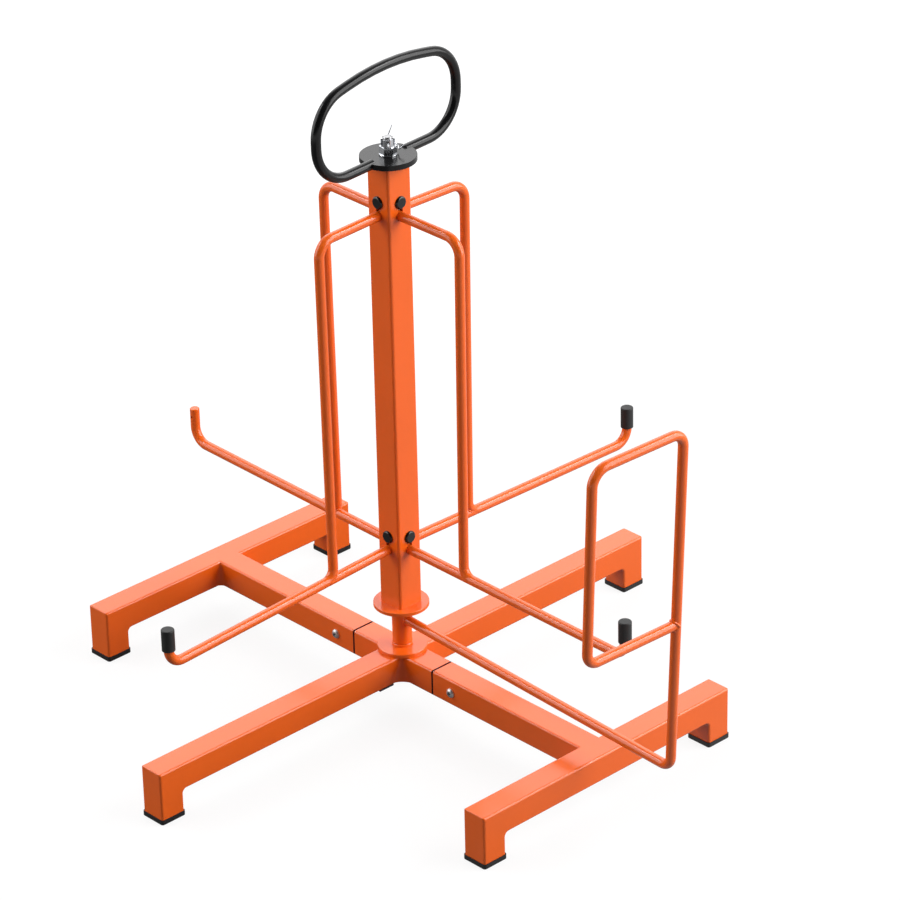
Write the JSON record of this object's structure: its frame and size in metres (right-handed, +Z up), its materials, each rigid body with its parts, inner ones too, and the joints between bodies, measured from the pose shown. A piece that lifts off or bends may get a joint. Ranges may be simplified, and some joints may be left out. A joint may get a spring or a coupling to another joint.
{
  "type": "wire spool rack",
  "caption": "Free-standing rack for coils of wire: a square column with bent-rod arms turns on a cross-shaped tube base, beside a guide loop on a swivelling rod, under a carrying handle.",
  "frame": {"origin": "on the floor, under the axis that the column and the guide arm turn about", "axes": "+Z up along that axis; +X along the stems of the T-shaped legs, towards the guide arm; +Y along the long middle bar"},
  "size_m": [0.7769, 0.711, 0.7394],
  "materials": {
    "orange_powder_coat": "smooth glossy orange powder coat",
    "black_gloss_paint": "gloss black paint with sharp highlights",
    "black_rubber": "satin black rubber",
    "black_gloss_plastic": "gloss black moulded plastic",
    "bright_zinc": "bright plated steel",
    "plain_steel": "bare turned steel",
    "bush_plastic": "off-white nylon"
  },
  "bodies": {
    "base": {"hub_frame": "orange_powder_coat", "leg_right": "orange_powder_coat", "leg_left": "orange_powder_coat", "insert_tube_right": "plain_steel", "insert_tube_left": "plain_steel", "foot_cap_mid_front": "black_rubber", "foot_cap_mid_rear": "black_rubber", "foot_cap_right_front": "black_rubber", "foot_cap_right_rear": "black_rubber", "foot_cap_left_front": "black_rubber", "foot_cap_left_rear": "black_rubber", "leg_screws": "bright_zinc", "leg_washers": "bright_zinc", "leg_nuts": "bright_zinc", "hub_flange": "orange_powder_coat", "hub_pad": "black_rubber", "spindle": "plain_steel", "thrust_washer": "bush_plastic", "handle_disc": "black_gloss_paint", "handle_loop": "black_gloss_paint", "top_washer": "bright_zinc", "castle_nut": "bright_zinc", "split_pin": "bright_zinc"},
    "guide": {"guide_sleeve": "orange_powder_coat", "guide_arm": "orange_powder_coat"},
    "column": {"column_tube": "orange_powder_coat", "column_flange": "orange_powder_coat", "lower_bush": "bush_plastic", "upper_bush": "bush_plastic", "spool_arm_front": "orange_powder_coat", "spool_arm_right": "orange_powder_coat", "spool_arm_rear": "orange_powder_coat", "spool_arm_left": "orange_powder_coat", "tip_cap_front": "black_rubber", "tip_cap_right": "black_rubber", "tip_cap_rear": "black_rubber", "socket_plugs_lower": "black_gloss_plastic", "socket_plugs_upper": "black_gloss_plastic"}
  },
  "joints": [
    {"name": "column_spin", "type": "hinge", "parent": "base", "child": "column", "pos_m": [0, 0, 0.3725], "axis": [0, 0, 1], "continuous": true},
    {"name": "guide_swivel", "type": "hinge", "parent": "base", "child": "guide", "pos_m": [0, 0, 0.08905], "axis": [0, 0, 1], "continuous": true}
  ]
}
